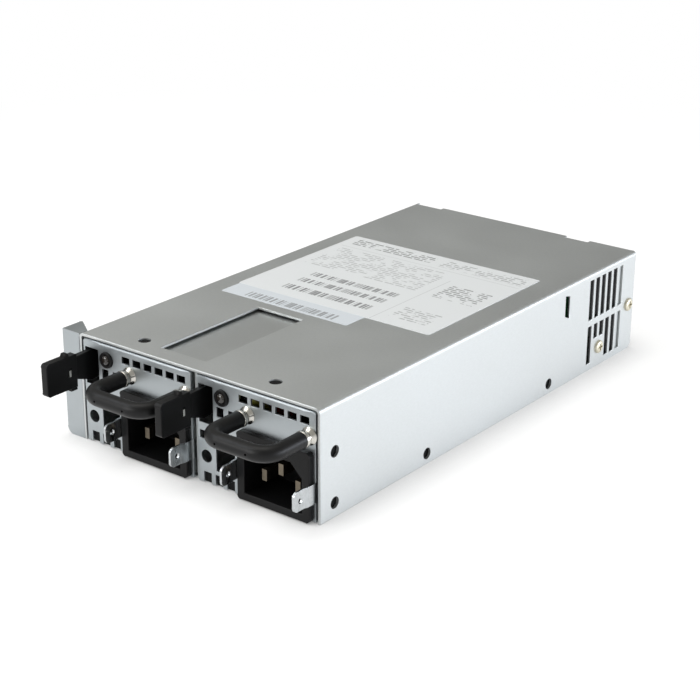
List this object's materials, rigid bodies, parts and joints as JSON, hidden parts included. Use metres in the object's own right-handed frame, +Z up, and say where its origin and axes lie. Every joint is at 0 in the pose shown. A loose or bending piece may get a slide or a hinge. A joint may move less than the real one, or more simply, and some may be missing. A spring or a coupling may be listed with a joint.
{
  "type": "hot swap server power supply",
  "caption": "Low steel cage with hot-swap power modules side by side, each with a mains inlet, a U handle, a status lamp and a spring latch lever.",
  "frame": {"origin": "centre of the cage's bottom face", "axes": "+X to the right seen from the front, +Y back through the cage from the handles, +Z up"},
  "size_m": [0.1145, 0.2228, 0.04],
  "materials": {
    "zinc_sheet": "zinc-plated steel sheet, satin",
    "plate_zinc": "zinc-plated steel plate, satin with a cool tint",
    "black_moulding": "black glass-filled moulding",
    "handle_rubber": "black sleeve with a soft sheen",
    "bright_steel": "turned steel, bright",
    "spring_steel": "blued spring strip",
    "blade_nickel": "nickel-plated contact blades",
    "circuit_board": "green solder mask",
    "capacitor_sleeve": "dark shrink sleeve",
    "black_aluminium": "black anodised extrusion",
    "terminal_brass": "tinned brass blades",
    "lamp_lens": "clear lamp body, unlit",
    "film_case": "boxed film capacitor",
    "ferrite": "ferrite core with a taped winding"
  },
  "bodies": {
    "cage": {"cage_cover": "zinc_sheet", "cage_base": "zinc_sheet", "rear_panel": "zinc_sheet", "chassis_ear": "zinc_sheet", "centre_divider": "zinc_sheet", "backplane_bracket": "zinc_sheet", "backplane_board": "circuit_board", "backplane_socket_1": "black_moulding", "backplane_socket_2": "black_moulding", "backplane_capacitors": "capacitor_sleeve", "backplane_heatsink": "black_aluminium", "output_terminals": "terminal_brass", "output_bushing": "black_moulding"},
    "module_1": {"module_1_case": "zinc_sheet", "module_1_lid": "zinc_sheet", "module_1_front_plate": "plate_zinc", "module_1_inlet_housing": "black_moulding", "module_1_inlet_blades": "blade_nickel", "module_1_retainer_tabs": "plate_zinc", "module_1_handle_grip": "handle_rubber", "module_1_handle_ferrules": "bright_steel", "module_1_lamp_holder": "black_moulding", "module_1_lamp_lens": "lamp_lens", "module_1_latch_pin": "bright_steel", "module_1_latch_spring": "spring_steel", "module_1_fan_frame": "black_moulding", "module_1_main_board": "circuit_board", "module_1_board_standoffs": "bright_steel", "module_1_bulk_capacitor": "capacitor_sleeve", "module_1_film_capacitors": "film_case", "module_1_transformer": "ferrite", "module_1_heatsinks": "black_aluminium", "module_1_output_inductors": "ferrite"},
    "latch_1": {"module_1_latch_lever": "black_moulding"},
    "fan_1": {"module_1_fan_rotor": "black_moulding"},
    "module_2": {"module_2_case": "zinc_sheet", "module_2_lid": "zinc_sheet", "module_2_front_plate": "plate_zinc", "module_2_inlet_housing": "black_moulding", "module_2_inlet_blades": "blade_nickel", "module_2_retainer_tabs": "plate_zinc", "module_2_handle_grip": "handle_rubber", "module_2_handle_ferrules": "bright_steel", "module_2_lamp_holder": "black_moulding", "module_2_lamp_lens": "lamp_lens", "module_2_latch_pin": "bright_steel", "module_2_latch_spring": "spring_steel", "module_2_fan_frame": "black_moulding", "module_2_main_board": "circuit_board", "module_2_board_standoffs": "bright_steel", "module_2_bulk_capacitor": "capacitor_sleeve", "module_2_film_capacitors": "film_case", "module_2_transformer": "ferrite", "module_2_heatsinks": "black_aluminium", "module_2_output_inductors": "ferrite"},
    "latch_2": {"module_2_latch_lever": "black_moulding"},
    "fan_2": {"module_2_fan_rotor": "black_moulding"}
  },
  "joints": [
    {"name": "module_1_slide", "type": "slide", "parent": "cage", "child": "module_1", "axis": [0, -1, 0], "range_m": [0, 0.16]},
    {"name": "latch_1_release", "type": "hinge", "parent": "module_1", "child": "latch_1", "pos_m": [-0.04695, -0.063, 0.0281], "axis": [0, 0, 1], "range_deg": [0, 5], "stiffness_Nm_per_rad": 0.6, "springref_deg": -5.73, "deforming": ["module_1_latch_spring"]},
    {"name": "fan_1_spin", "type": "hinge", "parent": "module_1", "child": "fan_1", "pos_m": [-0.01985, -0.059, 0.0194], "axis": [0, 1, 0], "continuous": true},
    {"name": "module_2_slide", "type": "slide", "parent": "cage", "child": "module_2", "axis": [0, -1, 0], "range_m": [0, 0.16]},
    {"name": "latch_2_release", "type": "hinge", "parent": "module_2", "child": "latch_2", "pos_m": [0.00555, -0.063, 0.0281], "axis": [0, 0, 1], "range_deg": [0, 5], "stiffness_Nm_per_rad": 0.6, "springref_deg": -5.73, "deforming": ["module_2_latch_spring"]},
    {"name": "fan_2_spin", "type": "hinge", "parent": "module_2", "child": "fan_2", "pos_m": [0.03265, -0.059, 0.0194], "axis": [0, 1, 0], "continuous": true}
  ]
}
